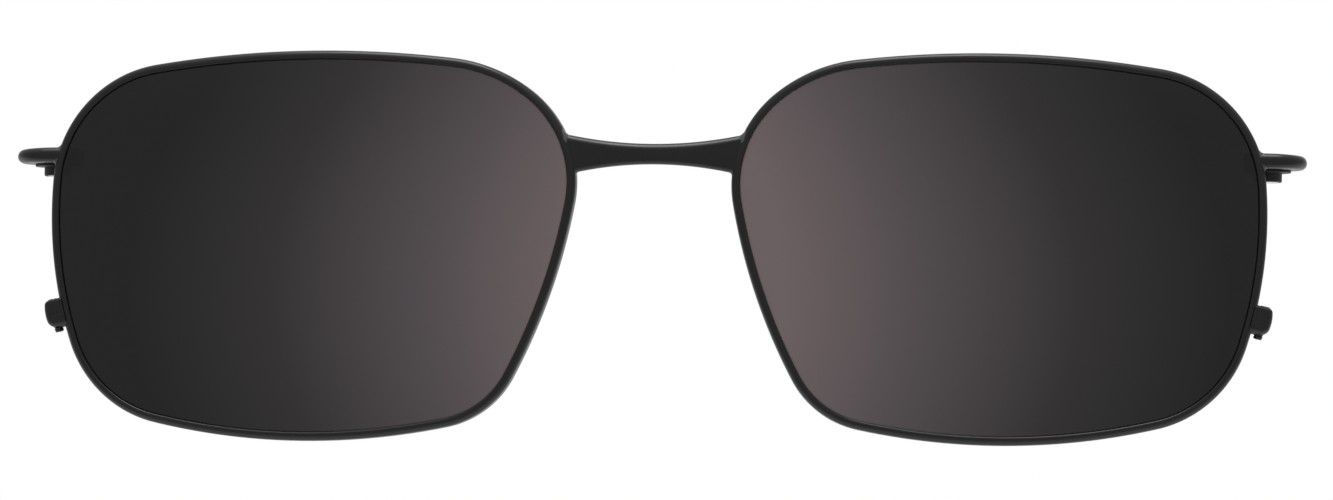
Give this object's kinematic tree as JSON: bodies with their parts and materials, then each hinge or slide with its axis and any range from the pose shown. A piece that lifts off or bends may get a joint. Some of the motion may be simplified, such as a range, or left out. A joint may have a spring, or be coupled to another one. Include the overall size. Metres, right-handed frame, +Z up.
{
  "type": "magnetic clip-on sunglass front",
  "caption": "Magnetic clip-on sunglass front: thin metal rims with curved dark lenses, a flared bridge, and end arms whose downward magnets hold it on a glasses frame.",
  "frame": {"origin": "midway between the two magnet faces, where the host frame's end pieces carry the clip", "axes": "+X to the right as seen from the front, +Y from the front towards the wearer, +Z up"},
  "size_m": [0.1364, 0.0133, 0.0411],
  "materials": {
    "rim_metal": "satin black",
    "cup_metal": "matt black",
    "braze_metal": "satin black",
    "lens": "dark grey tint",
    "magnet": "nickel plate",
    "screw_metal": "blackened"
  },
  "bodies": {
    "front": {"bridge": "rim_metal", "left_rim": "rim_metal", "left_lens": "lens", "left_end_arm": "rim_metal", "left_magnet_cup": "cup_metal", "left_magnet": "magnet", "left_closing_block_upper": "rim_metal", "left_closing_block_lower": "rim_metal", "left_bridge_braze": "braze_metal", "left_arm_braze": "braze_metal", "right_rim": "rim_metal", "right_lens": "lens", "right_end_arm": "rim_metal", "right_magnet_cup": "cup_metal", "right_magnet": "magnet", "right_closing_block_upper": "rim_metal", "right_closing_block_lower": "rim_metal", "right_bridge_braze": "braze_metal", "right_arm_braze": "braze_metal"},
    "left_screw": {"left_closing_screw": "screw_metal"},
    "right_screw": {"right_closing_screw": "screw_metal"}
  },
  "joints": [
    {"name": "left_screw_turn", "type": "hinge", "parent": "front", "child": "left_screw", "pos_m": [-0.06358, -0.00408, -0.01481], "axis": [-0.2351, 0.0206, 0.9718], "continuous": true},
    {"name": "right_screw_turn", "type": "hinge", "parent": "front", "child": "right_screw", "pos_m": [0.06358, -0.00408, -0.01481], "axis": [0.2351, 0.0206, 0.9718], "continuous": true}
  ]
}
